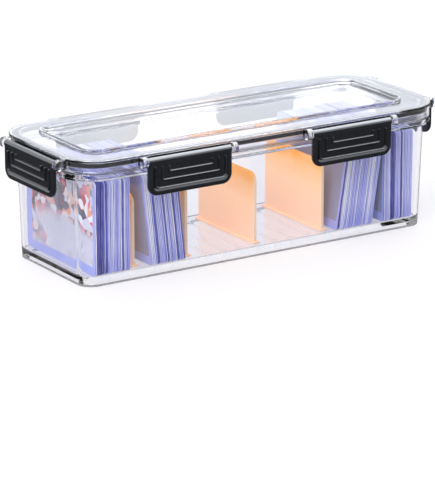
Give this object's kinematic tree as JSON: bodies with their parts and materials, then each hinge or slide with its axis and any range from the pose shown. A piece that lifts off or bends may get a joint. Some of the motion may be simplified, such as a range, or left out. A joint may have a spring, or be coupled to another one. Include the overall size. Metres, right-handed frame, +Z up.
{
  "type": "graded card storage box",
  "caption": "Clear storage box for graded and sleeved cards, with a sealed lid held by black snap latches, loose dividers and stacks of cards inside.",
  "frame": {"origin": "middle of the footprint, on the surface that the box stands on", "axes": "+X along the box towards its right end, +Y towards its back, +Z up"},
  "size_m": [0.3672, 0.1492, 0.1072],
  "materials": {
    "clear_plastic": "clear, polished",
    "gasket_silicone": "matt black silicone",
    "latch_plastic": "fine satin black",
    "divider_plastic": "translucent peach",
    "card_sleeve": "clear sleeve over lavender card edges"
  },
  "bodies": {
    "base": {"base_bin": "clear_plastic"},
    "lid": {"lid": "clear_plastic", "lid_gasket": "gasket_silicone"},
    "latch_front_left": {"latch_front_left": "latch_plastic"},
    "latch_front_right": {"latch_front_right": "latch_plastic"},
    "latch_back_left": {"latch_back_left": "latch_plastic"},
    "latch_back_right": {"latch_back_right": "latch_plastic"},
    "latch_left_end": {"latch_left_end": "latch_plastic"},
    "latch_right_end": {"latch_right_end": "latch_plastic"},
    "divider_1": {"divider_1": "divider_plastic"},
    "divider_2": {"divider_2": "divider_plastic"},
    "divider_3": {"divider_3": "divider_plastic"},
    "divider_4": {"divider_4": "divider_plastic"},
    "card_stack_1": {"sleeved_card_1_01": "card_sleeve", "sleeved_card_1_02": "card_sleeve", "sleeved_card_1_03": "card_sleeve", "sleeved_card_1_04": "card_sleeve", "sleeved_card_1_05": "card_sleeve", "sleeved_card_1_06": "card_sleeve", "sleeved_card_1_07": "card_sleeve", "sleeved_card_1_08": "card_sleeve", "sleeved_card_1_09": "card_sleeve", "sleeved_card_1_10": "card_sleeve", "sleeved_card_1_11": "card_sleeve"},
    "card_stack_2": {"sleeved_card_2_01": "card_sleeve", "sleeved_card_2_02": "card_sleeve", "sleeved_card_2_03": "card_sleeve", "sleeved_card_2_04": "card_sleeve", "sleeved_card_2_05": "card_sleeve", "sleeved_card_2_06": "card_sleeve", "sleeved_card_2_07": "card_sleeve", "sleeved_card_2_08": "card_sleeve", "sleeved_card_2_09": "card_sleeve", "sleeved_card_2_10": "card_sleeve", "sleeved_card_2_11": "card_sleeve"},
    "card_stack_3": {"sleeved_card_3_01": "card_sleeve", "sleeved_card_3_02": "card_sleeve", "sleeved_card_3_03": "card_sleeve", "sleeved_card_3_04": "card_sleeve", "sleeved_card_3_05": "card_sleeve", "sleeved_card_3_06": "card_sleeve", "sleeved_card_3_07": "card_sleeve", "sleeved_card_3_08": "card_sleeve", "sleeved_card_3_09": "card_sleeve", "sleeved_card_3_10": "card_sleeve", "sleeved_card_3_11": "card_sleeve", "sleeved_card_3_12": "card_sleeve"},
    "card_stack_4": {"sleeved_card_4_01": "card_sleeve", "sleeved_card_4_02": "card_sleeve", "sleeved_card_4_03": "card_sleeve", "sleeved_card_4_04": "card_sleeve", "sleeved_card_4_05": "card_sleeve", "sleeved_card_4_06": "card_sleeve", "sleeved_card_4_07": "card_sleeve", "sleeved_card_4_08": "card_sleeve", "sleeved_card_4_09": "card_sleeve", "sleeved_card_4_10": "card_sleeve"}
  },
  "joints": [
    {"name": "lid_lift", "type": "slide", "parent": "base", "child": "lid", "axis": [0, 0, 1], "range_m": [0, 0.15]},
    {"name": "latch_front_left_hinge", "type": "hinge", "parent": "lid", "child": "latch_front_left", "pos_m": [-0.0774, -0.0702, 0.0995], "axis": [-1, 0, 0], "range_deg": [0, 105]},
    {"name": "latch_front_right_hinge", "type": "hinge", "parent": "lid", "child": "latch_front_right", "pos_m": [0.0774, -0.0702, 0.0995], "axis": [-1, 0, 0], "range_deg": [0, 105]},
    {"name": "latch_back_left_hinge", "type": "hinge", "parent": "lid", "child": "latch_back_left", "pos_m": [-0.0774, 0.0702, 0.0995], "axis": [1, 0, 0], "range_deg": [0, 105]},
    {"name": "latch_back_right_hinge", "type": "hinge", "parent": "lid", "child": "latch_back_right", "pos_m": [0.0774, 0.0702, 0.0995], "axis": [1, 0, 0], "range_deg": [0, 105]},
    {"name": "latch_left_end_hinge", "type": "hinge", "parent": "lid", "child": "latch_left_end", "pos_m": [-0.1792, 0, 0.0995], "axis": [0, 1, 0], "range_deg": [0, 105]},
    {"name": "latch_right_end_hinge", "type": "hinge", "parent": "lid", "child": "latch_right_end", "pos_m": [0.1792, 0, 0.0995], "axis": [0, -1, 0], "range_deg": [0, 105]},
    {"name": "divider_1_lift", "type": "slide", "parent": "base", "child": "divider_1", "axis": [0, 0, 1], "range_m": [0, 0.03]},
    {"name": "divider_2_lift", "type": "slide", "parent": "base", "child": "divider_2", "axis": [0, 0, 1], "range_m": [0, 0.03]},
    {"name": "divider_3_lift", "type": "slide", "parent": "base", "child": "divider_3", "axis": [0, 0, 1], "range_m": [0, 0.03]},
    {"name": "divider_4_lift", "type": "slide", "parent": "base", "child": "divider_4", "axis": [0, 0, 1], "range_m": [0, 0.03]},
    {"name": "card_stack_1_lift", "type": "slide", "parent": "base", "child": "card_stack_1", "axis": [0, 0, 1], "range_m": [0, 0.01]},
    {"name": "card_stack_2_lift", "type": "slide", "parent": "base", "child": "card_stack_2", "axis": [0, 0, 1], "range_m": [0, 0.01]},
    {"name": "card_stack_3_lift", "type": "slide", "parent": "base", "child": "card_stack_3", "axis": [0, 0, 1], "range_m": [0, 0.01]},
    {"name": "card_stack_4_lift", "type": "slide", "parent": "base", "child": "card_stack_4", "axis": [0, 0, 1], "range_m": [0, 0.01]}
  ]
}
